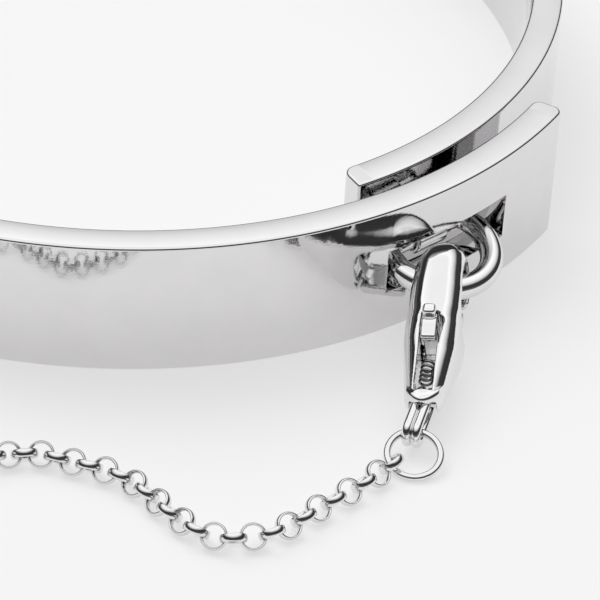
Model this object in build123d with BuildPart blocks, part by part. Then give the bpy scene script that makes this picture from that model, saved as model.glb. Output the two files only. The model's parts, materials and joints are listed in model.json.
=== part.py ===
from build123d import *
import math
import os

# A stiff strip bangle. Its two ends overlap, and a ring on the inner end comes out
# through a slot in the outer end. A lobster clasp hooks that ring, and a fine rolo
# chain keeps the clasp with the bangle.
# Millimetres, +Z up. The origin is the centre of the outer end's bend, at table level.
# A bearing is an angle seen from above: 0 is straight out along -Y, positive to +X.

# band
strip_height = 9.0
strip_thickness = 2.0
outer_bend_radius = 31.0
inner_bend_radius = 27.85
outer_tip_bearing = 60.3
inner_tip_bearing = 31.0
blend_start_bearing = 100.0
blend_end_bearing = 280.0
inner_tip_rounding = 0.9
outer_tip_rounding = 0.5
tip_corner_radius = 0.8
edge_break = 0.15

# slot in the outer end
slot_from_bearing = 31.7
slot_to_bearing = 49.3
slot_bottom = 2.9
slot_height = 3.0

# closure ring and the lug it turns in
ring_bearing = 39.69
ring_wire_radius = 0.73
ring_bend_radius = 3.31
ring_bar_offset = 1.6
ring_corner_radius = 0.9
ring_droop = 13.6
bar_distance = 29.85
bar_height = 4.47
lug_length = 2.4
lug_radius = 1.05
pin_clearance = 0.05

# lobster clasp
clasp_bearing_on_ring = 127.0
clasp_heading = 8.3
clasp_slope = 10.3
clasp_roll = 9.0
clasp_drop = 0.0
clasp_pull = 0.16
clasp_thickness = 3.0
nose_thickness = 2.3
tail_thickness = 2.3
nose_radius = 2.45
nose_at = 0.1
nose_rise = 0.12
mouth_radius = 1.7
belly_radius = 2.25
belly_at = 4.3
tail_radius = 1.15
tail_at = 9.3
clasp_rounding = 0.8
channel_width = 1.1
cup_width = 1.76
lever_thickness = 0.9
gate_width = 2.2
lever_pivot_at = 4.6
lever_pivot_depth = 0.9
lever_pin_radius = 0.28
tail_pin_at = 9.25
tail_pin_radius = 0.26
spring_at = 6.6
spring_rise = 0.5
spring_length = 1.55
spring_pitch = 0.36
spring_radius = 0.38
spring_wire_radius = 0.09

# bail and jump ring
bail_wire_radius = 0.3
bail_roll = -3.0
bail_end_radius = 0.64
bail_slack = 0.1
bail_grip_bearing = -2.5
jump_ring_bend_radius = 1.575
jump_ring_wire_radius = 0.225
jump_ring_tilt = 20.6
jump_ring_centre = (18.12, -40.19, 0.79)

# chain
link_outer_radius = 0.835
link_wire_depth = 0.2
link_wire_width = 0.5
link_lean = 45.0
link_rest_height = 0.78
link_count = 45
links_on_clasp = 30
taut_pitch = 1.25
slack_per_link = 0.0125
open_gap = 0.3

# anchor on the band
anchor_bearing = -26.0
anchor_height = 4.5
anchor_eye_radius = 0.85
anchor_eye_wire_radius = 0.3
anchor_ring_bend_radius = 1.45
anchor_ring_wire_radius = 0.22
anchor_ring_hang = 62.0


def on_bearing(radius, bearing, height=0.0):
    a = math.radians(bearing)
    return Vector(radius * math.sin(a), -radius * math.cos(a), height)


def bend(centre, radius, start, end):
    return CenterArc((centre.X, centre.Y), radius, start - 90.0, end - start)


# ---------------------------------------------------------------- band
half_strip = strip_thickness / 2
blend_shift = (outer_bend_radius - inner_bend_radius) / 2
blend_radius = (outer_bend_radius + inner_bend_radius) / 2
bend_centre = Vector(0, 0, 0)
blend_centre = on_bearing(blend_shift, blend_end_bearing)
outer_tip = outer_tip_bearing + 360.0
tips = ((inner_bend_radius, inner_tip_bearing), (outer_bend_radius, outer_tip))

with BuildPart() as band:
    with BuildSketch(Plane.XY):
        with BuildLine():
            for side in (half_strip, -half_strip):
                bend(bend_centre, inner_bend_radius + side, inner_tip_bearing, blend_start_bearing)
                bend(blend_centre, blend_radius + side, blend_start_bearing, blend_end_bearing)
                bend(bend_centre, outer_bend_radius + side, blend_end_bearing, outer_tip)
            for radius, bearing in tips:
                near = on_bearing(radius - half_strip, bearing)
                far = on_bearing(radius + half_strip, bearing)
                Line((near.X, near.Y), (far.X, far.Y))
        make_face()
    extrude(amount=strip_height)
    # rounded tips
    uprights = band.edges().filter_by(Axis.Z)
    for (radius, bearing), rounding in zip(tips, (inner_tip_rounding, outer_tip_rounding)):
        corner = on_bearing(radius - half_strip, bearing, strip_height / 2)
        fillet(uprights.sort_by_distance(corner)[0], radius=rounding)
    for height in (0, strip_height):
        corner = on_bearing(outer_bend_radius, outer_tip, height)
        fillet(band.edges().sort_by_distance(corner)[0], radius=tip_corner_radius)
    # every long edge is softly broken
    rims = band.faces().filter_by(Axis.Z).edges()
    fillet(rims, radius=edge_break)
    # slot for the closure ring
    with BuildSketch(Plane.XY.offset(slot_bottom)):
        with BuildLine():
            low = outer_bend_radius - half_strip - 0.5
            high = outer_bend_radius + half_strip + 0.5
            bend(bend_centre, low, slot_from_bearing, slot_to_bearing)
            bend(bend_centre, high, slot_from_bearing, slot_to_bearing)
            for bearing in (slot_from_bearing, slot_to_bearing):
                near = on_bearing(low, bearing)
                far = on_bearing(high, bearing)
                Line((near.X, near.Y), (far.X, far.Y))
        make_face()
    extrude(amount=slot_height, mode=Mode.SUBTRACT)
band.part.label = "band"

# ---------------------------------------------------------------- ring lug
tangent = Vector(math.cos(math.radians(ring_bearing)), math.sin(math.radians(ring_bearing)), 0)
outward = on_bearing(1.0, ring_bearing)
bar_centre = on_bearing(bar_distance, ring_bearing, bar_height)
lug_plane = Plane(origin=bar_centre, x_dir=outward, z_dir=tangent)
inner_end_face = inner_bend_radius + half_strip

with BuildPart() as ring_lug:
    with BuildSketch(lug_plane.offset(-lug_length / 2)):
        Circle(lug_radius)
        with Locations((-0.75, 0)):
            Rectangle(1.5, lug_radius * 1.8)
        Circle(ring_wire_radius + pin_clearance, mode=Mode.SUBTRACT)
    extrude(amount=lug_length)
    with BuildSketch(Plane.XY):
        Circle(inner_end_face)
    extrude(amount=strip_height, mode=Mode.SUBTRACT)
ring_lug.part.label = "ring_lug"

# ---------------------------------------------------------------- closure ring
droop = math.radians(ring_droop)
ring_out = outward * math.cos(droop) - Vector(0, 0, 1) * math.sin(droop)
ring_plane = Plane(origin=bar_centre, x_dir=tangent, z_dir=tangent.cross(ring_out))
bar_half = math.sqrt(ring_bend_radius**2 - ring_bar_offset**2)
bow_start = math.degrees(math.asin(ring_bar_offset / ring_bend_radius))

with BuildPart() as closure_ring:
    with BuildLine(ring_plane) as ring_path:
        Line((-bar_half, 0), (bar_half, 0))
        CenterArc((0, ring_bar_offset), ring_bend_radius, -bow_start, 180 + 2 * bow_start)
        fillet(ring_path.vertices(), radius=ring_corner_radius)
    with BuildSketch(Plane(origin=bar_centre, x_dir=ring_out, z_dir=tangent)):
        Circle(ring_wire_radius)
    sweep(path=ring_path.wires()[0])
closure_ring.part.label = "closure_ring"

# ---------------------------------------------------------------- clasp frame
around = math.radians(clasp_bearing_on_ring)
heading = on_bearing(1.0, -clasp_heading)
mouth_centre = (
    bar_centre
    + ring_out * (ring_bar_offset + ring_bend_radius * math.sin(around))
    + tangent * (ring_bend_radius * math.cos(around))
    + heading * clasp_pull
    - Vector(0, 0, clasp_drop)
)
slope = math.radians(clasp_slope)
tailward = heading * math.cos(slope) - Vector(0, 0, 1) * math.sin(slope)
level_side = Vector(0, 0, 1).cross(heading) * -1
spineward = level_side.cross(tailward)
roll = math.radians(clasp_roll)
clasp_side = level_side * math.cos(roll) - spineward * math.sin(roll)
clasp_plane = Plane(origin=mouth_centre, x_dir=tailward, z_dir=clasp_side)
clasp_top = Plane(origin=mouth_centre, x_dir=tailward, z_dir=clasp_side.cross(tailward))

# ---------------------------------------------------------------- clasp body
with BuildPart() as clasp_body:
    with BuildSketch(clasp_plane.offset(-clasp_thickness / 2)):
        with Locations((nose_at, nose_rise)):
            Circle(nose_radius)
        with Locations((belly_at, -0.15)):
            Circle(belly_radius)
        with Locations((tail_at, 0.25)):
            Circle(tail_radius)
        make_hull()
    extrude(amount=clasp_thickness)
    # thickness seen from the spine: fuller at the middle, slimmer at nose and tail
    with BuildSketch(clasp_top.offset(-2 * nose_radius)):
        with BuildLine():
            Polyline(
                (-nose_radius - 0.2, nose_thickness / 2),
                (2.0, clasp_thickness / 2),
                (6.0, clasp_thickness / 2),
                (tail_at + tail_radius + 0.2, tail_thickness / 2),
                (tail_at + tail_radius + 0.2, -tail_thickness / 2),
                (6.0, -clasp_thickness / 2),
                (2.0, -clasp_thickness / 2),
                (-nose_radius - 0.2, -nose_thickness / 2),
                close=True,
            )
        make_face()
    extrude(amount=4 * nose_radius, mode=Mode.INTERSECT)
    rim = clasp_body.edges().filter_by(lambda e: abs((e % 0.5).dot(clasp_side)) < 0.5)
    fillet(rim, radius=clasp_rounding)
    # mouth, and the gap the lever's gate closes
    with BuildSketch(clasp_plane.offset(-clasp_thickness)):
        Circle(mouth_radius)
        with Locations((1.7, -0.35)):
            Circle(mouth_radius)
        make_hull()
        with BuildLine():
            Polyline((-0.3, -1.3), (3.6, -1.3), (3.6, -4.0), (-0.5, -4.0), close=True)
        make_face()
    extrude(amount=2 * clasp_thickness, mode=Mode.SUBTRACT)
    # channel for the lever, open on the spine behind the thumb knob
    with BuildSketch(clasp_plane.offset(-channel_width / 2)):
        with Locations((4.85, -1.7)):
            Rectangle(5.3, 5.4)
        with Locations((6.6, 2.0)):
            Rectangle(5.5, 3.4)
        with Locations((8.0, 0.6)):
            Rectangle(1.6, 1.6)
    extrude(amount=channel_width, mode=Mode.SUBTRACT)
    # open cup in the tail for the bail, bridged by a rim on the spine side
    with BuildSketch(clasp_plane.offset(-cup_width / 2)):
        with Locations((9.8, -0.5)):
            Rectangle(2.8, 3.2)
    extrude(amount=cup_width, mode=Mode.SUBTRACT)
    # rivet holes
    with BuildSketch(clasp_plane.offset(-clasp_thickness)):
        with Locations((lever_pivot_at, -lever_pivot_depth)):
            Circle(lever_pin_radius)
        with Locations((tail_pin_at, 0)):
            Circle(tail_pin_radius)
    extrude(amount=2 * clasp_thickness, mode=Mode.SUBTRACT)
clasp_body.part.label = "clasp_body"

# ---------------------------------------------------------------- clasp lever
with BuildPart() as clasp_lever:
    # gate across the mouth
    with BuildSketch(clasp_plane.offset(-gate_width / 2)):
        with Locations((0.15, -2.28)):
            Circle(0.34)
        with Locations((3.1, -2.25)):
            Circle(0.36)
        make_hull()
    extrude(amount=gate_width)
    # arm from the gate to the rivet
    with BuildSketch(clasp_plane.offset(-lever_thickness / 2)):
        with Locations((lever_pivot_at, -lever_pivot_depth)):
            Circle(0.72)
        with Locations((3.1, -2.25)):
            Circle(0.36)
        make_hull()
    extrude(amount=lever_thickness)
    # heel that carries the thumb knob
    with BuildSketch(clasp_plane.offset(-lever_thickness / 2)):
        with Locations((lever_pivot_at, -lever_pivot_depth)):
            Circle(0.72)
        with Locations((4.35, 1.75)):
            Circle(0.36)
        with Locations((5.75, 1.45)):
            Circle(0.3)
        make_hull()
    extrude(amount=lever_thickness)
    with BuildSketch(clasp_plane.offset(-0.38)):
        with Locations((4.3, 2.35)):
            RectangleRounded(0.72, 1.5, 0.25)
    extrude(amount=0.76)
    with BuildSketch(clasp_plane.offset(-clasp_thickness)):
        with Locations((lever_pivot_at, -lever_pivot_depth)):
            Circle(lever_pin_radius + pin_clearance)
    extrude(amount=2 * clasp_thickness, mode=Mode.SUBTRACT)
clasp_lever.part.label = "clasp_lever"

# ---------------------------------------------------------------- rivets
with BuildPart() as lever_pin:
    with BuildSketch(clasp_plane.offset(-clasp_thickness / 2)):
        with Locations((lever_pivot_at, -lever_pivot_depth)):
            Circle(lever_pin_radius)
    extrude(amount=clasp_thickness)
lever_pin.part.label = "lever_pin"

with BuildPart() as tail_pin:
    with BuildSketch(clasp_plane.offset(-1.0)):
        with Locations((tail_pin_at, 0)):
            Circle(tail_pin_radius)
    extrude(amount=2.0)
tail_pin.part.label = "tail_pin"

# ---------------------------------------------------------------- lever spring
spring_start = clasp_plane.from_local_coords((spring_at, spring_rise, 0))
with BuildPart() as lever_spring:
    with BuildLine():
        coil = Helix(
            pitch=spring_pitch, height=spring_length, radius=spring_radius, center=spring_start, direction=tailward
        )
    with BuildSketch(Plane(origin=coil @ 0, z_dir=coil % 0)):
        Circle(spring_wire_radius)
    sweep(path=coil.edge())
lever_spring.part.label = "lever_spring"

# ---------------------------------------------------------------- bail
far_side = Vector(0.0567, 0.9984, 0)
ring_centre = Vector(*jump_ring_centre)
tilt = math.radians(jump_ring_tilt)
jump_up = far_side * math.cos(tilt) + Vector(0, 0, 1) * math.sin(tilt)
jump_side = far_side.cross(Vector(0, 0, 1))
jump_plane = Plane(origin=ring_centre, x_dir=jump_side, z_dir=jump_side.cross(jump_up))
pin_point = clasp_plane.from_local_coords((tail_pin_at, 0, 0))
grip = math.radians(bail_grip_bearing)
held_point = ring_centre + (jump_up * math.cos(grip) + jump_side * math.sin(grip)) * jump_ring_bend_radius
bail_dir = (held_point - pin_point).normalized()
bail_level = bail_dir.cross(Vector(0, 0, 1)).normalized()
bail_up = bail_level.cross(bail_dir)
lean = math.radians(bail_roll)
bail_side = bail_level * math.cos(lean) + bail_up * math.sin(lean)
bail_plane = Plane(
    origin=(held_point + pin_point) * 0.5,
    x_dir=bail_dir,
    z_dir=bail_side,
)
bail_reach = (held_point - pin_point).length / 2 + tail_pin_radius + bail_slack
bail_half = bail_reach - (bail_end_radius - bail_wire_radius)
with BuildPart() as bail:
    for shift in (-bail_wire_radius * 0.95, bail_wire_radius * 0.95):
        lane = bail_plane.offset(shift)
        start = lane.from_local_coords((0, bail_end_radius, 0))
        with BuildLine(lane) as loop:
            Line((-bail_half, bail_end_radius), (bail_half, bail_end_radius))
            CenterArc((bail_half, 0), bail_end_radius, -90, 180)
            Line((bail_half, -bail_end_radius), (-bail_half, -bail_end_radius))
            CenterArc((-bail_half, 0), bail_end_radius, 90, 180)
        with BuildSketch(Plane(origin=start, x_dir=bail_side, z_dir=bail_dir)):
            Circle(bail_wire_radius)
        sweep(path=loop.wires()[0])
bail.part.label = "bail"

# ---------------------------------------------------------------- jump ring
with BuildPart() as jump_ring:
    wire_centre = ring_centre + jump_side * jump_ring_bend_radius
    with BuildSketch(Plane(origin=wire_centre, x_dir=jump_side, z_dir=jump_up)):
        Circle(jump_ring_wire_radius)
    revolve(axis=Axis(ring_centre, jump_side.cross(jump_up)), revolution_arc=360)
jump_ring.part.label = "jump_ring"

# ---------------------------------------------------------------- anchor
anchor_out = on_bearing(1.0, anchor_bearing)
anchor_along = Vector(math.cos(math.radians(anchor_bearing)), math.sin(math.radians(anchor_bearing)), 0)
band_face = outer_bend_radius + half_strip
eye_centre = on_bearing(band_face + 0.55, anchor_bearing, anchor_height)
with BuildPart() as anchor_lug:
    eye_top = eye_centre + Vector(0, 0, anchor_eye_radius)
    with BuildSketch(Plane(origin=eye_top, x_dir=anchor_along, z_dir=anchor_out)):
        Circle(anchor_eye_wire_radius)
    revolve(axis=Axis(eye_centre, anchor_along), revolution_arc=360)
    with BuildSketch(Plane.XY):
        Circle(band_face)
    extrude(amount=strip_height, mode=Mode.SUBTRACT)
anchor_lug.part.label = "anchor_lug"

hang = math.radians(anchor_ring_hang)
hang_dir = anchor_out * math.cos(hang) - Vector(0, 0, 1) * math.sin(hang)
hang_point = eye_centre + anchor_out * 0.24
anchor_ring_centre = hang_point + hang_dir * anchor_ring_bend_radius
with BuildPart() as anchor_ring:
    wire_centre = anchor_ring_centre + anchor_along * anchor_ring_bend_radius
    with BuildSketch(Plane(origin=wire_centre, x_dir=anchor_along, z_dir=hang_dir)):
        Circle(anchor_ring_wire_radius)
    revolve(axis=Axis(anchor_ring_centre, anchor_along.cross(hang_dir)), revolution_arc=360)
anchor_ring.part.label = "anchor_ring"

# ---------------------------------------------------------------- chain
# how the chain lies on the table, from the jump ring round to the anchor
anchor_low = anchor_ring_centre + hang_dir * anchor_ring_bend_radius
chain_lie = [
    (16.75, -41.1), (14.1, -43.9), (12.3, -45.5), (10.45, -47.2), (8.4, -48.15), (6.3, -48.1),
    (4.5, -46.8), (3.05, -45.05), (1.65, -43.45), (-0.1, -42.4), (-2.0, -41.75), (-3.7, -41.2),
    (-5.5, -41.35), (-8.5, -42.0), (-12.2, -41.3), (-15.2, -38.6), (-16.6, -35.2),
]
lie_points = [Vector(x, y, link_rest_height) for x, y in chain_lie]
with BuildLine() as chain_line:
    Spline(lie_points + [anchor_low + anchor_out * 0.15])
chain_path = chain_line.edges()[0]

link_at = [0.0]
for i in range(1, links_on_clasp):
    link_at.append(link_at[-1] + taut_pitch - slack_per_link * min(i - 1, 25))
link_at.append(link_at[-1] + 2 * link_outer_radius + open_gap)
rest_pitch = (chain_path.length - link_at[-1]) / (link_count - links_on_clasp - 1)
for i in range(links_on_clasp + 1, link_count):
    link_at.append(link_at[-1] + rest_pitch)

links = []
for i, distance in enumerate(link_at):
    centre = chain_path.position_at(distance, position_mode=PositionMode.LENGTH)
    along = chain_path.tangent_at(distance, position_mode=PositionMode.LENGTH)
    across = along.cross(Vector(0, 0, 1)).normalized()
    up = across.cross(along)
    side = -1 if i % 2 == 0 else 1
    lean_angle = math.radians(link_lean) * side
    face = up * math.cos(lean_angle) - across * math.sin(lean_angle)
    with BuildPart() as link:
        with BuildSketch(
            Plane(
                origin=centre + along * (link_outer_radius - link_wire_depth / 2),
                x_dir=along,
                z_dir=face.cross(along),
            )
        ):
            Ellipse(link_wire_depth / 2, link_wire_width / 2)
        revolve(axis=Axis(centre, face), revolution_arc=360)
    link.part.label = f"chain_link_{i + 1:02d}"
    links.append(link.part)

# ---------------------------------------------------------------- export
os.makedirs("parts", exist_ok=True)
export_step(band.part, "parts/band.step")
export_step(ring_lug.part, "parts/ring_lug.step")
export_step(closure_ring.part, "parts/closure_ring.step")
export_step(clasp_body.part, "parts/clasp_body.step")
export_step(clasp_lever.part, "parts/clasp_lever.step")
export_step(lever_pin.part, "parts/lever_pin.step")
export_step(tail_pin.part, "parts/tail_pin.step")
export_step(lever_spring.part, "parts/lever_spring.step")
export_step(bail.part, "parts/bail.step")
export_step(jump_ring.part, "parts/jump_ring.step")
export_step(anchor_lug.part, "parts/anchor_lug.step")
export_step(anchor_ring.part, "parts/anchor_ring.step")
for link in links:
    export_step(link, f"parts/{link.label}.step")
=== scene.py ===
"""A polished strip bangle: hinged ring through a slot, lobster clasp and fine rolo chain."""

import json
import math

import bmesh
import bpy
import numpy as np
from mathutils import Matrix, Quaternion, Vector


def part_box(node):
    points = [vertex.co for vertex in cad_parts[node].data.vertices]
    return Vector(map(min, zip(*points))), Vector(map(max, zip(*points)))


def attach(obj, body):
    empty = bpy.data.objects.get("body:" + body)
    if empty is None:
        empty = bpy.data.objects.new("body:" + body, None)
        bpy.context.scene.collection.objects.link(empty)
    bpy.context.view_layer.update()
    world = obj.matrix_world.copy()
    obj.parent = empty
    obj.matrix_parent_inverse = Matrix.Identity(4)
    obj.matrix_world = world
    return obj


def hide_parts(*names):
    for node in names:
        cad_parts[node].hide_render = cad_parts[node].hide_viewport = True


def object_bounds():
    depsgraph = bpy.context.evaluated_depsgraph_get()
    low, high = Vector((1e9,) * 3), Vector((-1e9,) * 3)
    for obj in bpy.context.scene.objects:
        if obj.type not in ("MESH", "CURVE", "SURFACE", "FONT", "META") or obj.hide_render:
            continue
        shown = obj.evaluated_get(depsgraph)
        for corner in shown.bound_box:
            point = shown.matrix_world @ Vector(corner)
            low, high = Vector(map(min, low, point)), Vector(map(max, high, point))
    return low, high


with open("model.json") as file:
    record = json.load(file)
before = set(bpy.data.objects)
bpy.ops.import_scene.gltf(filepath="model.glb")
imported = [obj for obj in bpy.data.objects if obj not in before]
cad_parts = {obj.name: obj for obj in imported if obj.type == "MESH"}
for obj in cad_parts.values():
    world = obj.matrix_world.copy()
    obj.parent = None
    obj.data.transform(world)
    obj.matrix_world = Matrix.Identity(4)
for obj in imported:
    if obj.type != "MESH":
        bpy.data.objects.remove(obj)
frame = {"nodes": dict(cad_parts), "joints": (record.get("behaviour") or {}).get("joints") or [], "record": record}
cad_low, cad_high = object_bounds()

MM = 0.001
record = frame["record"]
joints = {j["name"]: j for j in frame["joints"]}
body_of = {node: body for body, nodes in record["behaviour"]["bodies"].items() for node in nodes}
slot_of = {part["node"]: part["material_slot"] for part in record["subparts"]}


# ---------------------------------------------------------------- camera
camera_at = Vector((0.0, -231.84, 154.79)) * MM
camera_aim = Vector((11.774, -24.392, 0.0)) * MM
camera_roll = math.radians(3.739)

camera = bpy.data.objects.new("camera", bpy.data.cameras.new("camera"))
camera.data.lens = 252.75
camera.data.sensor_width = 36.0
camera.data.clip_start = 0.01
camera.location = camera_at
aim = (camera_aim - camera_at).to_track_quat("-Z", "Y")
camera.rotation_mode = "QUATERNION"
camera.rotation_quaternion = aim @ Quaternion((0, 0, 1), camera_roll)
bpy.context.scene.collection.objects.link(camera)
bpy.context.scene.camera = camera


# ---------------------------------------------------------------- shader helpers
def add(tree, kind, out=0, settings=None, **inputs):
    """Adds a shader node and returns its output number out. An input is a value or another node's output.

    An input goes by its name with _ for a space, as To_Min, or by its number, as _0 for the first.
    """
    node = tree.nodes.new(kind)
    for name, value in (settings or {}).items():
        setattr(node, name, value)
    for name, value in inputs.items():
        socket = node.inputs[int(name[1:]) if name[0] == "_" else name.replace("_", " ")]
        if isinstance(value, bpy.types.NodeSocket):
            tree.links.new(value, socket)
        else:
            socket.default_value = value
    return node.outputs[out]


def math_of(tree, operation, first, second):
    """A Math node on two inputs."""
    return add(tree, "ShaderNodeMath", settings={"operation": operation}, _0=first, _1=second)


def mix_of(tree, factor, first, second):
    """A Mix node between two numbers."""
    return add(tree, "ShaderNodeMix", settings={"data_type": "FLOAT"}, _0=factor, _2=first, _3=second)


def ramp(tree, value, *stops):
    """A colour ramp of grey levels: each stop is (position, level)."""
    node = tree.nodes.new("ShaderNodeValToRGB")
    tree.links.new(value, node.inputs["Fac"])
    steps = node.color_ramp.elements
    while len(steps) < len(stops):
        steps.new(0.5)
    for step, (position, level) in zip(steps, stops):
        step.position = position
        step.color = (level, level, level, 1)
    return node.outputs["Color"]


def spread(tree, value, low, high):
    """Stretches a 0..1 value to low..high."""
    return add(tree, "ShaderNodeMapRange", Value=value, To_Min=low, To_Max=high)


# outputs of the Texture Coordinate node
object_coordinates, world_direction = 3, 0
# metres; the wiping marks are laid out at this radius round the band
marks_radius = 0.031
patches_in_rough, marks_in_bump = 0.4, 0.3


def polished(slot, tone, gloss, grain=0.0, ripple=0.25, round_band=False):
    """Polished silver-tone metal: fine wiping marks, soft handling patches and a faint cast ripple."""
    material = bpy.data.materials.new(slot)
    material.use_nodes = True
    tree = material.node_tree
    tree.nodes.clear()
    place = add(tree, "ShaderNodeTexCoord", out=object_coordinates)
    if round_band:
        # the marks run round the band: the way round and the height in place of x and y
        split = tree.nodes.new("ShaderNodeSeparateXYZ")
        tree.links.new(place, split.inputs[0])
        turn = math_of(tree, "ARCTAN2", split.outputs[1], split.outputs[0])
        way_round = math_of(tree, "MULTIPLY", turn, marks_radius)
        place = add(tree, "ShaderNodeCombineXYZ", _0=way_round, _1=split.outputs[2], _2=0.0)
    # wiping marks: long thin noise
    drawn = add(tree, "ShaderNodeMapping", Vector=place, Scale=(300.0, 9000.0, 9000.0))
    lines = add(tree, "ShaderNodeTexNoise", Vector=drawn, Scale=1.0, Detail=3.0, Roughness=0.7)
    # handling marks: broad soft patches
    patches = add(tree, "ShaderNodeTexNoise", Vector=place, Scale=380.0, Detail=4.0, Roughness=0.6)
    specks = add(tree, "ShaderNodeTexNoise", Vector=place, Scale=5200.0, Detail=2.0, Roughness=0.5)
    rubbed = mix_of(tree, patches_in_rough, lines, patches)
    rough = spread(tree, rubbed, gloss * 0.5, gloss * 1.5)
    shade = spread(tree, patches, 0.94, 1.03)
    grey = add(tree, "ShaderNodeCombineXYZ", _0=shade, _1=shade, _2=shade)
    colour = add(tree, "ShaderNodeMix", out=2, settings={"data_type": "RGBA", "blend_type": "MULTIPLY"},
                 _0=1.0, _6=(*tone, 1.0), _7=grey)
    height = mix_of(tree, marks_in_bump, specks, lines)
    fine = add(tree, "ShaderNodeBump", Strength=grain, Distance=0.00002, Height=height)
    broad = add(tree, "ShaderNodeTexNoise", Vector=place, Scale=900.0, Detail=1.0, Roughness=0.4)
    bumped = add(tree, "ShaderNodeBump", Strength=ripple, Distance=0.00001, Height=broad, Normal=fine)
    shader = add(tree, "ShaderNodeBsdfPrincipled",
                 Metallic=1.0, Base_Color=colour, Roughness=rough, Normal=bumped)
    output = tree.nodes.new("ShaderNodeOutputMaterial")
    tree.links.new(shader, output.inputs["Surface"])
    return material


finish = {
    "band": polished("band", (0.765, 0.76, 0.765), 0.04, grain=0.10, ripple=0.0, round_band=True),
    "fittings": polished("fittings", (0.74, 0.74, 0.745), 0.10, grain=0.25),
    "closure_ring": polished("closure_ring", (0.80, 0.795, 0.80), 0.05, grain=0.10, ripple=0.15),
    "clasp": polished("clasp", (0.82, 0.815, 0.82), 0.06, grain=0.12, ripple=0.3),
    "clasp_lever": polished("clasp_lever", (0.80, 0.80, 0.80), 0.08, grain=0.2, ripple=0.2),
    "rivets": polished("rivets", (0.82, 0.82, 0.83), 0.14, grain=0.3),
    # the spring's dark grey tone is painted shade: it stands for the shade inside the lever channel where the coil
    # sits
    "spring": polished("spring", (0.30, 0.30, 0.31), 0.25, grain=0.3),
    "bail": polished("bail", (0.82, 0.815, 0.82), 0.07, grain=0.15, ripple=0.3),
    "jump_rings": polished("jump_rings", (0.80, 0.80, 0.80), 0.08, grain=0.15, ripple=0.3),
    "chain": polished("chain", (0.79, 0.79, 0.79), 0.10, grain=0.2, ripple=0.3),
}


# ---------------------------------------------------------------- mesh helpers
def piece(name, points, faces, *nodes):
    """Adds a smooth mesh, given in millimetres, that stands for CAD nodes and rides on their body."""
    mesh = bpy.data.meshes.new(name)
    points = (np.asarray(points, float) * MM).tolist()
    mesh.from_pydata(points, [], [list(map(int, f)) for f in faces])
    mesh.shade_smooth()
    made = bpy.data.objects.new(name, mesh)
    bpy.context.scene.collection.objects.link(made)
    slot = slot_of[nodes[0]]
    mesh.materials.append(finish[slot])
    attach(made, body_of[nodes[0]])
    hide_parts(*nodes)
    return made


def joint_point(name):
    return np.array(joints[name]["pos_m"]) / MM


def joint_axis(name):
    return np.array(joints[name]["axis"])


def unit(v):
    return v / np.linalg.norm(v)


def arc(centre, radius, start, end, steps):
    """Points on an arc in a flat plane, angles in degrees."""
    turn = np.radians(np.linspace(start, end, steps, endpoint=False))
    return np.column_stack([centre[0] + radius * np.cos(turn), centre[1] + radius * np.sin(turn)])


def straight(start, end, level, steps):
    """Points on a straight run in a flat plane, all at one level."""
    return np.column_stack([np.linspace(start, end, steps, endpoint=False), np.full(steps, level)])


def wire(line, up, across, along_up=None, around=20, closed=True):
    """A wire along a line of points: across and along_up are its half sizes, along_up towards up."""
    line = np.asarray(line, float)
    count = len(line)
    along_up = across if along_up is None else along_up
    across, along_up = (np.broadcast_to(size, count)[:, None] for size in (across, along_up))
    if closed:
        run = np.roll(line, -1, 0) - np.roll(line, 1, 0)
    else:
        run = np.gradient(line, axis=0)
    run /= np.linalg.norm(run, axis=1, keepdims=True)
    side = np.cross(run, up)
    side /= np.linalg.norm(side, axis=1, keepdims=True)
    high = np.cross(side, run)
    turn = np.linspace(0, 2 * math.pi, around, endpoint=False)
    points = np.concatenate([
        line + across * math.cos(t) * side + along_up * math.sin(t) * high for t in turn
    ])
    faces = []
    spans = count if closed else count - 1
    for row in range(around):
        here, there = row * count, (row + 1) % around * count
        for i in range(spans):
            j = (i + 1) % count
            faces.append((here + i, here + j, there + j, there + i))
    if not closed:
        faces.append([row * count for row in range(around)])
        faces.append([row * count + count - 1 for row in reversed(range(around))])
    return points, faces


def ring_lay(node):
    """Where a ring-shaped CAD node lies: its centre, its side and steepest directions, and its axis."""
    points = np.array([v.co[:] for v in frame["nodes"][node].data.vertices]) / MM
    low, high = points.min(0), points.max(0)
    axis = np.linalg.svd(points - points.mean(0), full_matrices=False)[2][2]
    side = unit(np.cross((0, 0, 1), axis))
    return (low + high) / 2, side, np.cross(axis, side), axis


seam_width = 0.22


def ring(name, node, bend, across, seam, along_up=None, lump=0.12, around=28, steps=128):
    """A round wire ring laid where its CAD node is, with a soldered seam at the angle seam."""
    centre, side, up, axis = ring_lay(node)
    turn = np.linspace(0, 2 * math.pi, steps, endpoint=False)
    line = centre + bend * (np.cos(turn)[:, None] * side + np.sin(turn)[:, None] * up)
    # the seam is a low swelling with a finer groove along its middle
    away = (turn - seam + math.pi) % (2 * math.pi) - math.pi
    width = seam_width / bend
    swell = np.ones(steps)
    swell += lump * np.exp(-(away / width) ** 2) - 1.6 * lump * np.exp(-(away / (0.22 * width)) ** 2)
    along_up = across if along_up is None else along_up
    points, faces = wire(line, axis, across * swell, along_up * swell, around)
    return piece(name, points, faces, node)


# ---------------------------------------------------------------- solids from a distance field
def join(a, b, blend):
    """Smooth union of two fields."""
    h = np.maximum(blend - np.abs(a - b), 0) / blend
    return np.minimum(a, b) - h * h * blend / 4


def carve(a, b, blend):
    """Field a with b cut out of it, and the new edge rounded."""
    return -join(-a, b, blend)


def block(x, y, z, centre, half, rounding):
    """A box with rounded edges."""
    gaps = [np.abs(v - c) - (h - rounding) for v, c, h in zip((x, y, z), centre, half)]
    outside = np.sqrt(sum(np.maximum(g, 0) ** 2 for g in gaps))
    return outside + np.minimum(np.maximum.reduce(gaps), 0) - rounding


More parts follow.
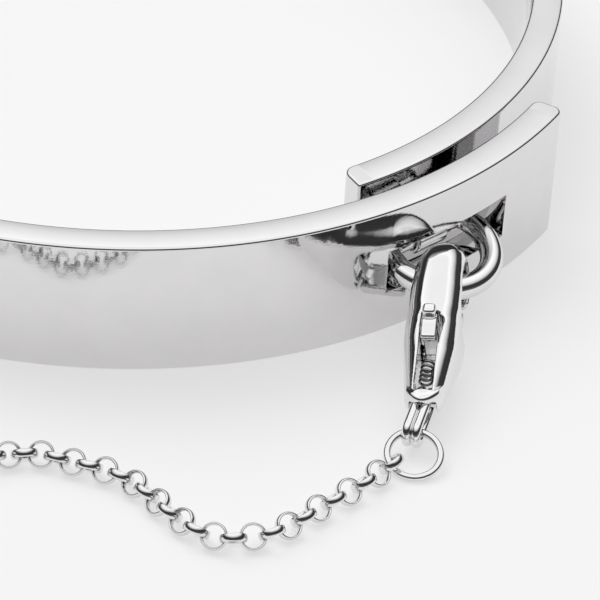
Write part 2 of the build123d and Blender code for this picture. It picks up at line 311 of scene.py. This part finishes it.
def rod(x, y, start, start_radius, end, end_radius):
    """A tapered round-ended bar in the plane."""
    dx, dy = end[0] - start[0], end[1] - start[1]
    along = np.clip(((x - start[0]) * dx + (y - start[1]) * dy) / (dx * dx + dy * dy), 0, 1)
    radius = start_radius + (end_radius - start_radius) * along
    return np.hypot(x - start[0] - dx * along, y - start[1] - dy * along) - radius


def plate(outline, depth, rounding):
    """A flat outline given a thickness and rounded edges: depth is |z| less half the thickness."""
    a, b = outline + rounding, depth + rounding
    return np.hypot(np.maximum(a, 0), np.maximum(b, 0)) + np.minimum(np.maximum(a, b), 0) - rounding


def skin(field, low, high, step):
    """The smooth closed surface where field(x, y, z) is zero, inside the box from low to high."""
    axes = [np.arange(a, b + step, step) for a, b in zip(low, high)]
    value = field(*np.meshgrid(*axes, indexing="ij"))
    inside = value < 0
    cells = tuple(n - 1 for n in value.shape)

    def corner(grid, i, j, k):
        return grid[i:i + cells[0], j:j + cells[1], k:k + cells[2]]

    corners = [(i, j, k) for i in (0, 1) for j in (0, 1) for k in (0, 1)]
    filled = sum(corner(inside, *c).astype(int) for c in corners)
    crossed = (filled > 0) & (filled < 8)
    index = np.full(cells, -1)
    index[crossed] = np.arange(crossed.sum())
    # each crossed cell's point is the mean of where its edges are cut
    total, hits = np.zeros((crossed.sum(), 3)), np.zeros(crossed.sum())
    for a in corners:
        for axis in range(3):
            if a[axis]:
                continue
            b = tuple(1 if n == axis else c for n, c in enumerate(a))
            va, vb = corner(value, *a)[crossed], corner(value, *b)[crossed]
            cut = (va < 0) != (vb < 0)
            part = np.where(cut, va / np.where(cut, va - vb, 1), 0)
            point = np.tile(np.array(a, float), (len(va), 1))
            point[:, axis] += part
            total += point * cut[:, None]
            hits += cut
    points = np.argwhere(crossed) + total / hits[:, None]
    points = np.array([a[0] for a in axes]) + points * step
    # draw the points onto the surface
    nudge = step * 0.02
    for _ in range(4):
        here = field(*points.T)
        slope = np.column_stack([
            (field(*(points + nudge * e).T) - field(*(points - nudge * e).T)) / (2 * nudge)
            for e in np.eye(3)
        ])
        move = here[:, None] * slope / np.maximum((slope ** 2).sum(1), 0.25)[:, None]
        points -= np.clip(move, -step / 2, step / 2)
    faces = []
    for axis in range(3):
        first, second = (axis + 1) % 3, (axis + 2) % 3
        ahead = np.take(inside, range(1, inside.shape[axis]), axis)
        behind = np.take(inside, range(inside.shape[axis] - 1), axis)
        at = np.argwhere(ahead != behind)
        outward = behind[tuple(at.T)]
        loop = []
        for da, db in ((0, 0), (1, 0), (1, 1), (0, 1)):
            cell = at.copy()
            cell[:, first] -= da
            cell[:, second] -= db
            loop.append(index[tuple(cell.T)])
        quads = np.column_stack(loop)
        quads[~outward] = quads[~outward, ::-1]
        faces.append(quads)
    return points, np.concatenate(faces)


# ---------------------------------------------------------------- band
# lengths in millimetres, bearings in degrees round the band from the front
strip_height, half_strip = 9.0, 1.0
outer_bend, inner_bend = 31.0, 27.85
inner_tip, outer_tip = 31.0, 420.6
blend_from, blend_to = 100.0, 280.0
slot_bearings, slot_heights = (391.7, 409.3), (2.9, 5.9)
column = 0.5
tip_columns = 2.0
tip_corner, inner_tip_corner, corner_steps = 0.6, 0.8, 6
rim_edge, rim_steps = 0.08, 2
long_edge, long_steps = 0.2, 4
mm_per_degree = math.radians(1) * (outer_bend + inner_bend) / 2


def on_band(bearing, depth):
    """The point at a bearing round the band, depth millimetres out from the strip's middle."""
    if bearing < blend_from:
        shift, radius = 0.0, inner_bend
    elif bearing < blend_to:
        shift, radius = (outer_bend - inner_bend) / 2, (outer_bend + inner_bend) / 2
    else:
        shift, radius = 0.0, outer_bend
    a, b = math.radians(bearing), math.radians(blend_to)
    radius += depth
    return radius * math.sin(a) + shift * math.sin(b), -radius * math.cos(a) - shift * math.cos(b)


def straight_band():
    """The strip before bending: a long bar with a slot, its corners rounded and edges broken."""
    knots = (inner_tip + tip_columns, *slot_bearings, outer_tip - tip_columns)
    bearings = [inner_tip]
    for near, far in zip(knots, knots[1:]):
        bearings += list(np.linspace(near, far, round((far - near) / column), endpoint=False))
    bearings += [knots[-1], outer_tip]
    heights = (0.0, *slot_heights, strip_height)
    bar = bmesh.new()
    grid = {
        (side, i, k): bar.verts.new((bearing * mm_per_degree, side * half_strip, height))
        for side in (-1, 1) for i, bearing in enumerate(bearings) for k, height in enumerate(heights)
    }
    last = len(bearings) - 1

    def hole(i, k):
        return k == 1 and 0 <= i < last and slot_bearings[0] <= bearings[i] < slot_bearings[1]

    def quad(*keys):
        bar.faces.new([grid[key] for key in keys])

    for i in range(last):
        for k in range(3):
            if not hole(i, k):
                quad((-1, i, k), (-1, i + 1, k), (-1, i + 1, k + 1), (-1, i, k + 1))
                quad((1, i, k + 1), (1, i + 1, k + 1), (1, i + 1, k), (1, i, k))
        for k in (1, 2):
            if hole(i, 1):
                quad((-1, i, k), (-1, i + 1, k), (1, i + 1, k), (1, i, k))
        quad((-1, i, 0), (1, i, 0), (1, i + 1, 0), (-1, i + 1, 0))
        quad((-1, i, 3), (-1, i + 1, 3), (1, i + 1, 3), (1, i, 3))
        for here, there in ((i, i - 1), (i + 1, i + 1)):
            if hole(i, 1) and not hole(there, 1):
                quad((-1, here, 1), (-1, here, 2), (1, here, 2), (1, here, 1))
    for i in (0, last):
        for k in range(3):
            quad((-1, i, k), (-1, i, k + 1), (1, i, k + 1), (1, i, k))
    bmesh.ops.recalc_face_normals(bar, faces=bar.faces)

    def soften(chosen, radius, segments):
        bmesh.ops.bevel(bar, geom=chosen, offset=radius, offset_type="OFFSET", segments=segments,
                        profile=0.5, affect="EDGES", clamp_overlap=False)

    def edges_at(length, test):
        there = [e for e in bar.edges if all(abs(v.co.x - length) < 1e-4 for v in e.verts)]
        return [e for e in there if test(*e.verts)]

    def by_slot(edge):
        return all(slot_bearings[0] - 0.5 < v.co.x / mm_per_degree < slot_bearings[1] + 0.5
                   and 0.5 < v.co.z < strip_height - 0.5 for v in edge.verts)

    # both upright corners of the outer tip are rounded, and the inner tip's inner one
    outer_corners = edges_at(outer_tip * mm_per_degree, lambda a, b: a.co.y == b.co.y)
    soften(outer_corners, tip_corner, corner_steps)
    inner_corner = edges_at(inner_tip * mm_per_degree, lambda a, b: a.co.y < 0 and b.co.y < 0)
    soften(inner_corner, inner_tip_corner, corner_steps)
    sharp = [e for e in bar.edges if e.calc_face_angle() > math.radians(40)]
    rim = [e for e in sharp if by_slot(e) and abs(e.verts[0].co.y - e.verts[1].co.y) < 1e-6]
    long_edges = [e for e in sharp if not by_slot(e)]
    soften(rim, rim_edge, rim_steps)
    soften([e for e in long_edges if e.is_valid], long_edge, long_steps)
    return bar


bar = straight_band()
for vert in bar.verts:
    vert.co.x, vert.co.y = on_band(vert.co.x / mm_per_degree, vert.co.y)
bmesh.ops.recalc_face_normals(bar, faces=bar.faces)
bar.verts.index_update()
faces = [[v.index for v in f.verts] for f in bar.faces]
band = piece("band_strip", [v.co[:] for v in bar.verts], faces, "band")
bar.free()
weigh = band.modifiers.new("even_shading", "WEIGHTED_NORMAL")
weigh.weight = 100
weigh.keep_sharp = False


# ---------------------------------------------------------------- closure ring and its lug
bar_point = joint_point("ring_hinge")
tangent = -joint_axis("ring_hinge")
outward = np.cross(tangent, (0, 0, 1))
upward = np.array((0, 0, 1.0))
ring_wire, ring_bend, bar_offset, ring_corner = 0.73, 3.31, 1.6, 0.9
ring_droop = math.radians(13.6)
lug_radius, half_lug, lug_play = 1.05, 1.2, 0.05
ring_out = outward * math.cos(ring_droop) - upward * math.sin(ring_droop)

# a D: a straight bar through the lug, two tight corners and a wide bow
corner_x = math.sqrt((ring_bend - ring_corner) ** 2 - (bar_offset - ring_corner) ** 2)
corner_end = math.degrees(math.atan2(ring_corner - bar_offset, corner_x))
outline = np.concatenate([
    straight(-corner_x, corner_x, 0.0, 16),
    arc((corner_x, ring_corner), ring_corner, -90, corner_end, 10),
    arc((0, bar_offset), ring_bend, corner_end, 180 - corner_end, 96),
    arc((-corner_x, ring_corner), ring_corner, 180 - corner_end, 270, 10),
])
path = bar_point + outline[:, :1] * tangent + outline[:, 1:] * ring_out
points, faces = wire(path, np.cross(tangent, ring_out), ring_wire, around=40)
piece("closure_ring_wire", points, faces, "closure_ring")

seat = inner_bend + half_strip


def lug_field(x, y, z):
    """Barrel lug in its own axes: x outward, y up, z along the bar. Its foot ends on the strip's face."""
    barrel = plate(np.hypot(x, y) - lug_radius, np.abs(z) - half_lug, 0.14)
    foot = block(x, y, z, (-0.9, 0, 0), (0.75, 0.95, half_lug), 0.12)
    lug = carve(join(barrel, foot, 0.2), np.hypot(x, y) - ring_wire - lug_play, 0.06)
    east, north = (bar_point[n] + x * outward[n] + y * upward[n] + z * tangent[n] for n in (0, 1))
    return np.maximum(lug, seat - np.hypot(east, north))


points, faces = skin(lug_field, (-1.8, -1.3, -1.4), (1.3, 1.3, 1.4), 0.06)
points = bar_point + points @ np.array([outward, upward, tangent])
piece("ring_lug_barrel", points, faces, "ring_lug")


# ---------------------------------------------------------------- lobster clasp
# its own axes: x towards the tail, y towards the spine, z to the left cheek
lever_pivot, tail_pivot = (4.6, -0.9), (9.25, 0.0)
lever_pin_radius, half_lever_pin = 0.28, 1.45
tail_pin_radius, half_tail_pin = 0.26, 1.0
half_channel, half_lever, lever_play = 0.55, 0.45, 0.05
# half the body's thickness along x
cheek_at = (-2.7, -1.9, -1.0, 1.5, 5.5, 8.0, 10.5)
cheek_half = (0.8, 1.2, 1.47, 1.65, 1.66, 1.36, 1.05)
left = -joint_axis("lever_pivot")
run = joint_point("bail_hinge") - joint_point("lever_pivot")
slant = -math.atan2(tail_pivot[1] - lever_pivot[1], tail_pivot[0] - lever_pivot[0])
tailward = unit(run * math.cos(slant) + np.cross(left, run) * math.sin(slant))
spineward = np.cross(left, tailward)
clasp_axes = np.array([tailward, spineward, left])
mouth = joint_point("bail_hinge") - tailward * tail_pivot[0] - spineward * tail_pivot[1]


def on_clasp(points):
    """Points in the clasp's own axes, set where the clasp is."""
    return mouth + np.asarray(points) @ clasp_axes


def clasp_field(x, y, z):
    """The cast body: a teardrop plate with a mouth, a channel along its spine and a cup in its tail."""
    # the nose leans a little to the right
    z = z + 0.03 * np.maximum(1.2 - x, 0) ** 2
    outline = join(
        rod(x, y, (-0.15, 0.15), 2.68, (4.3, -0.2), 2.3),
        rod(x, y, (4.3, -0.2), 2.3, (9.3, 0.25), 1.15),
        0.6,
    )
    half = np.interp(x, cheek_at, cheek_half)
    body = plate(outline + 0.13 * z ** 2, np.abs(z) - half, 1.05)
    # rolled lip across the tail
    bow = z ** 2
    lip = np.hypot(x - 9.95 + 0.75 * bow, y - 1.08 + 0.25 * bow) - 0.3
    lip = np.maximum(lip, np.abs(z) - 1.0)
    body = join(body, lip, 0.18)
    # the mouth, and the gap that the lever's gate closes
    body = carve(body, rod(x, y, (0, 0), 1.7, (1.7, -0.35), 1.7), 0.3)
    body = carve(body, block(x, y, z, (1.6, -2.8, 0), (2.0, 1.5, 3), 0.1), 0.15)
    # channel for the lever and its spring, open on the spine
    body = carve(body, block(x, y, z, (6.6, 1.5, 0), (2.75, 2.3, half_channel), 0.15), 0.14)
    body = carve(body, block(x, y, z, (4.85, -1.7, 0), (2.65, 2.7, half_channel), 0.1), 0.1)
    body = carve(body, block(x, y, z, (8.0, 0.6, 0), (0.8, 0.8, half_channel), 0.1), 0.1)
    # clearance beside the thumb knob
    notch = rod(x, z, (4.45, -0.58), 0.27, (5.9, -0.5), 0.12)
    body = carve(body, np.maximum(notch, 0.2 - y), 0.16)
    # open cup for the bail
    return carve(body, block(x, y, z, (9.9, -0.65, 0), (1.5, 1.5, 0.8), 0.3), 0.15)


points, faces = skin(clasp_field, (-3.0, -2.9, -2.3), (11.0, 3.0, 1.9), 0.052)
piece("clasp_body_shell", on_clasp(points), faces, "clasp_body")


def lever_field(x, y, z):
    """The lever: a broad gate across the mouth, a thin arm to the rivet, and a heel with the thumb knob."""
    depth = np.abs(z)
    gate = plate(rod(x, y, (0.15, -2.28), 0.34, (3.1, -2.25), 0.36), depth - 1.1, 0.2)
    arm = plate(rod(x, y, (3.1, -2.25), 0.36, lever_pivot, 0.72), depth - half_lever, 0.1)
    strip = rod(x, y, (4.4, 2.1), 0.3, (5.6, 1.9), 0.24)
    heel = join(rod(x, y, lever_pivot, 0.6, (4.5, 1.9), 0.4), strip, 0.25)
    lever = join(join(gate, arm, 0.25), plate(heel, depth - half_lever, 0.1), 0.2)
    knob = block(x, y, z, (4.3, 2.45, 0), (0.38, 0.6, 0.4), 0.22)
    lever = join(lever, knob, 0.08)
    bore = np.hypot(x - lever_pivot[0], y - lever_pivot[1]) - (lever_pin_radius + lever_play)
    return carve(lever, bore, 0.05)


points, faces = skin(lever_field, (-0.5, -2.9, -1.3), (6.4, 3.3, 1.3), 0.06)
piece("clasp_lever_gate", on_clasp(points), faces, "clasp_lever")


def rivet(name, node, at, radius, half_length):
    """A rivet with softly domed heads."""
    dome, around = radius * 0.3, 32
    profile = [(0.0, -half_length - dome)]
    profile += [
        (radius * math.sin(a), -half_length - dome * math.cos(a))
        for a in np.linspace(0.2, math.pi / 2, 6)
    ]
    profile += [(r, -h) for r, h in reversed(profile)]
    turn = np.linspace(0, 2 * math.pi, around, endpoint=False)
    points = [(at[0] + r * math.cos(t), at[1] + r * math.sin(t), h) for r, h in profile for t in turn]
    faces = []
    for i in range(len(profile) - 1):
        here, there = i * around, (i + 1) * around
        for k in range(around):
            n = (k + 1) % around
            faces.append((here + k, here + n, there + n, there + k))
    made = piece(name, on_clasp(points), faces, node)
    shape = bmesh.new()
    shape.from_mesh(made.data)
    bmesh.ops.remove_doubles(shape, verts=shape.verts, dist=1e-7)
    bmesh.ops.recalc_face_normals(shape, faces=shape.faces)
    shape.to_mesh(made.data)
    shape.free()


rivet("lever_rivet", "lever_pin", lever_pivot, lever_pin_radius, half_lever_pin)
rivet("tail_rivet", "tail_pin", tail_pivot, tail_pin_radius, half_tail_pin)

# spring behind the lever's heel; its dark grey finish is painted shade for the shaded channel it sits in
coil_from, coil_rise, coil_length = 6.6, 0.5, 1.55
coil_radius, coil_pitch, coil_wire = 0.38, 0.36, 0.085
turn = np.linspace(0, 2 * math.pi * coil_length / coil_pitch, 140)
coil = np.column_stack([
    coil_from + coil_pitch * turn / (2 * math.pi),
    coil_rise + coil_radius * np.sin(turn),
    coil_radius * np.cos(turn),
])
points, faces = wire(on_clasp(coil), tailward, coil_wire, around=12, closed=False)
piece("lever_spring_coil", points, faces, "lever_spring")


# ---------------------------------------------------------------- bail and jump ring
bail_wire, bail_bend, bail_slack = 0.3, 0.34, 0.1
strand_offset = 0.95
jump_ring_bend, jump_ring_wire = 1.575, 0.225
pin_point, held_point = joint_point("bail_hinge"), joint_point("jump_ring_hinge")
bail_run = unit(held_point - pin_point)
bail_level = unit(np.cross(bail_run, upward))
bail_rise = np.cross(bail_level, bail_run)
bail_lean = math.radians(-3.0)
bail_side = bail_level * math.cos(bail_lean) + bail_rise * math.sin(bail_lean)
bail_high = np.cross(bail_side, bail_run)
end_radius = bail_wire + bail_bend
half_bail = np.linalg.norm(held_point - pin_point) / 2 + tail_pin_radius + bail_slack - bail_bend
loop = np.concatenate([
    straight(-half_bail, half_bail, -end_radius, 20),
    arc((half_bail, 0), end_radius, -90, 90, 28),
    straight(half_bail, -half_bail, end_radius, 20),
    arc((-half_bail, 0), end_radius, 90, 270, 28),
])
middle = (pin_point + held_point) / 2
strands, strand_faces = [], []
for shift in (-strand_offset, strand_offset):
    lane = middle + bail_side * shift * bail_wire + loop[:, :1] * bail_run + loop[:, 1:] * bail_high
    points, faces = wire(lane, bail_side, bail_wire, around=24)
    strand_faces += [[i + len(points) * len(strands) for i in face] for face in faces]
    strands.append(points)
piece("bail_double_loop", np.concatenate(strands), strand_faces, "bail")

ring("jump_ring_wire", "jump_ring", jump_ring_bend, jump_ring_wire, seam=math.radians(243), steps=160)


# ---------------------------------------------------------------- anchor on the band
anchor_bend, anchor_wire = 1.45, 0.22
eye_stand, eye_bend, eye_wire = 0.55, 0.85, 0.3
ring("anchor_ring_wire", "anchor_ring", anchor_bend, anchor_wire, seam=math.radians(200))

anchor_centre = ring_lay("anchor_ring")[0]
eye_low, eye_high = (np.array(corner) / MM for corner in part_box("anchor_lug"))
band_face = outer_bend + half_strip
anchor_bearing = math.atan2(anchor_centre[0], -anchor_centre[1])
eye_out = np.array((math.sin(anchor_bearing), -math.cos(anchor_bearing), 0))
eye_along = np.cross(upward, eye_out)
eye_centre = eye_out * (band_face + eye_stand) + upward * (eye_low[2] + eye_high[2]) / 2
turn = np.linspace(0, 2 * math.pi, 96, endpoint=False)
eye = eye_centre + eye_bend * (np.cos(turn)[:, None] * eye_out + np.sin(turn)[:, None] * upward)
points, faces = wire(eye, eye_along, eye_wire, around=24)
# the part that would sink into the strip ends on its face
reach = np.hypot(points[:, 0], points[:, 1])
points[:, :2] *= (np.maximum(reach, band_face) / reach)[:, None]
piece("anchor_eye", points, faces, "anchor_lug")


# ---------------------------------------------------------------- chain
link_bend, link_deep, link_wide = 0.735, 0.1, 0.25
seam_step = 137.5
link_count = sum(node.startswith("chain_link_") for node in frame["nodes"])
for number in range(1, link_count + 1):
    ring(f"rolo_link_{number:02d}", f"chain_link_{number:02d}", link_bend, link_deep,
         seam=math.radians(seam_step * number), along_up=link_wide, lump=0.08, around=16, steps=48)


# ---------------------------------------------------------------- floor, light and world
def light_table(name, glow, level):
    """A pale translucent sheet lit from below, so what stands on it casts only a faint shadow."""
    material = bpy.data.materials.new(name)
    material.use_nodes = True
    tree = material.node_tree
    shader = tree.nodes["Principled BSDF"]
    shader.inputs["Roughness"].default_value = 0.9
    shader.inputs["Specular IOR Level"].default_value = 0.1
    place = add(tree, "ShaderNodeTexCoord", out=object_coordinates)
    cloud = add(tree, "ShaderNodeTexNoise", Vector=place, Scale=6.0, Detail=2.0)
    shade = ramp(tree, cloud, (0.3, level * 0.995), (0.7, level * 1.005))
    tree.links.new(shade, shader.inputs["Base Color"])
    shader.inputs["Emission Color"].default_value = (1.0, 0.985, 0.99, 1)
    shader.inputs["Emission Strength"].default_value = glow
    return material


floor_mesh = bpy.data.meshes.new("floor")
far = 4.0
floor_mesh.from_pydata([(-far, -far, 0), (far, -far, 0), (far, far, 0), (-far, far, 0)], [], [(0, 1, 2, 3)])
floor_mesh.materials.append(light_table("floor", glow=0.575, level=0.35))
floor = bpy.data.objects.new("floor", floor_mesh)
floor.location.z = min(cad_low.z, 0.0)
bpy.context.scene.collection.objects.link(floor)


def softbox(name, at, width, depth, power):
    """A soft lamp aimed at the origin, left out of the mirror images in the metal."""
    lamp = bpy.data.lights.new(name, "AREA")
    lamp.shape = "RECTANGLE"
    lamp.size, lamp.size_y = width, depth
    lamp.energy = power
    made = bpy.data.objects.new(name, lamp)
    made.location = at
    made.rotation_euler = (-Vector(at)).to_track_quat("-Z", "Y").to_euler()
    made.visible_glossy = False
    bpy.context.scene.collection.objects.link(made)


softbox("key", (-0.35, 0.5, 0.8), 0.7, 0.7, 4.0)

world = bpy.data.worlds.new("studio")
bpy.context.scene.world = world
world.use_nodes = True
tree = world.node_tree
tree.nodes.clear()
# a bright tent over a dark horizon, which gives polished metal its dark lines
# the tent's lower edge is high at the front and low at the back
split = tree.nodes.new("ShaderNodeSeparateXYZ")
tree.links.new(add(tree, "ShaderNodeTexCoord", out=world_direction), split.inputs[0])
back = math_of(tree, "MULTIPLY", split.outputs[1], 0.25)
lifted = math_of(tree, "ADD", split.outputs[2], back)
aside = math_of(tree, "MULTIPLY", split.outputs[0], -0.08)
height = math_of(tree, "ADD", lifted, aside)
tent = ramp(tree, height, (0.0, 0.10), (0.06, 0.03), (0.46, 0.04), (0.60, 0.5), (0.74, 0.78),
            (0.90, 1.0), (1.0, 0.85))
# the backdrop itself is plain
seen = add(tree, "ShaderNodeBackground", Color=(0.92, 0.915, 0.92, 1), Strength=1.0)
lit = add(tree, "ShaderNodeBackground", Color=tent, Strength=1.25)
first_look = add(tree, "ShaderNodeLightPath", out=0)
mixed = add(tree, "ShaderNodeMixShader", _0=first_look, _1=lit, _2=seen)
output = tree.nodes.new("ShaderNodeOutputWorld")
tree.links.new(mixed, output.inputs["Surface"])

bpy.context.scene.view_settings.view_transform = "Standard"
